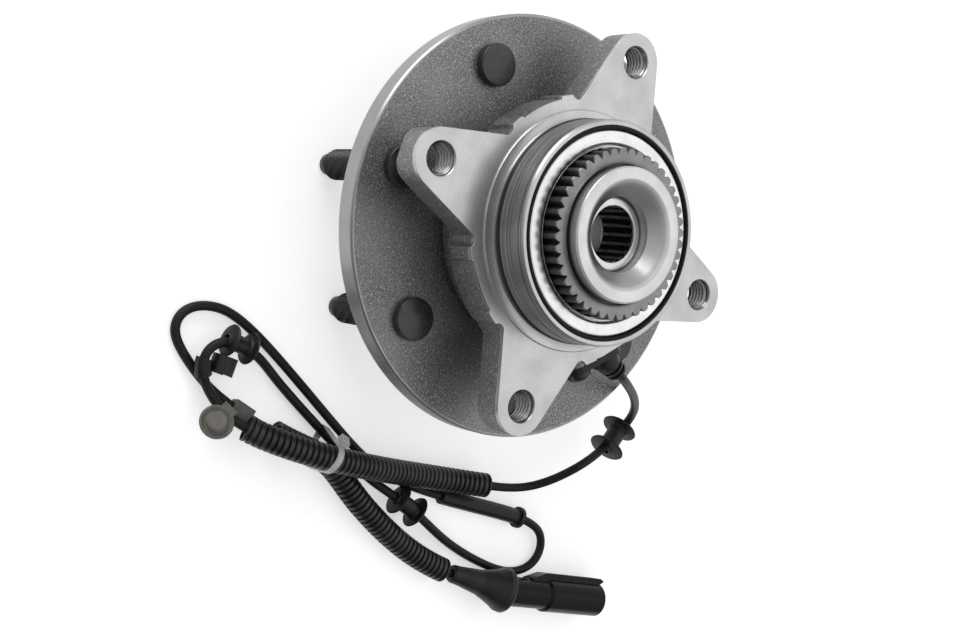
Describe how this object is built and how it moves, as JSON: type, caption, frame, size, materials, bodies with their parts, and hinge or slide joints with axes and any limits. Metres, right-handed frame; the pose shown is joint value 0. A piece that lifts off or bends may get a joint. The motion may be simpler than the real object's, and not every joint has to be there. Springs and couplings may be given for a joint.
{
  "type": "wheel hub bearing",
  "caption": "Wheel hub unit: flanged spindle on two ball rows in an eared housing, with a toothed coupling ring, a wheel-speed sensor and its clipped lead",
  "frame": {"origin": "centre of the stud circle on the wheel face of the flange, where the brake disc seats", "axes": "+Z points inboard along the axis of rotation, away from the wheel; +X runs through the middle of one ear of the housing; +Y completes a right-handed frame and runs through the next ear"},
  "size_m": [0.2665, 0.2822, 0.126],
  "materials": {
    "forged_steel": "forged, dark scale, machined at the rim, pilots and collar",
    "machined_steel": "machined forging, satin",
    "bearing_steel": "ground and polished",
    "sintered_steel": "sintered, matt",
    "stamped_steel": "drawn sheet, bright",
    "stud_black": "phosphated, oiled",
    "screw_black": "black, satin",
    "seal_rubber": "smooth, slightly glossy",
    "cord_rubber": "satin",
    "cage_nylon": "glass-filled nylon",
    "cage_black": "black nylon",
    "moulded_black": "moulded, satin",
    "connector_black": "moulded, glossy",
    "loom_plastic": "blow-moulded, corrugated",
    "pin_nylon": "weathered grey nylon",
    "band_grey": "grey tape",
    "tie_nylon": "natural nylon, slightly translucent",
    "sleeve_brass": "machined",
    "terminal_brass": "tinned brass"
  },
  "bodies": {
    "housing": {"housing": "machined_steel", "pilot_o_ring": "seal_rubber", "seal_gasket": "seal_rubber", "inboard_seal_case": "stamped_steel", "inboard_seal_lips": "seal_rubber", "inboard_seal_shield": "stamped_steel", "outboard_seal_case": "stamped_steel", "outboard_seal_lips": "seal_rubber", "sensor_body": "moulded_black", "sensor_o_ring": "seal_rubber", "sensor_sleeve": "sleeve_brass", "sensor_screw": "screw_black", "strain_relief": "cord_rubber", "lead": "cord_rubber", "grommet_1": "cord_rubber", "grommet_2": "cord_rubber", "grommet_3": "cord_rubber", "loom_long": "loom_plastic", "loom_short": "loom_plastic", "lead_sleeve": "cord_rubber", "push_pin_clip": "pin_nylon", "edge_clip": "moulded_black", "band_clip": "band_grey", "cable_tie": "tie_nylon", "connector_boot": "cord_rubber", "connector_body": "connector_black", "connector_latch": "connector_black", "connector_terminals": "terminal_brass"},
    "hub": {"hub_flange": "forged_steel", "wheel_studs": "stud_black", "inner_ring": "bearing_steel", "toothed_ring": "sintered_steel", "tone_ring": "sintered_steel", "inboard_slinger": "stamped_steel", "outboard_slinger": "stamped_steel", "needle_cup": "stamped_steel"},
    "outboard_set": {"outboard_balls": "bearing_steel", "outboard_cage": "cage_nylon"},
    "inboard_set": {"inboard_balls": "bearing_steel", "inboard_cage": "cage_nylon"},
    "needle_set": {"needles": "bearing_steel", "needle_cage": "cage_black"}
  },
  "joints": [
    {"name": "hub_spin", "type": "hinge", "parent": "housing", "child": "hub", "pos_m": [0, 0, 0.035], "axis": [0, 0, 1], "continuous": true},
    {"name": "outboard_set_spin", "type": "hinge", "parent": "housing", "child": "outboard_set", "pos_m": [0, 0, 0.02304], "axis": [0, 0, 1], "continuous": true},
    {"name": "inboard_set_spin", "type": "hinge", "parent": "housing", "child": "inboard_set", "pos_m": [0, 0, 0.04804], "axis": [0, 0, 1], "continuous": true},
    {"name": "needle_set_spin", "type": "hinge", "parent": "hub", "child": "needle_set", "pos_m": [0, 0, 0.055], "axis": [0, 0, 1], "continuous": true}
  ],
  "couplings": [
    {"joint": "outboard_set_spin", "follows": "hub_spin", "ratio": 0.42},
    {"joint": "inboard_set_spin", "follows": "hub_spin", "ratio": 0.42}
  ]
}
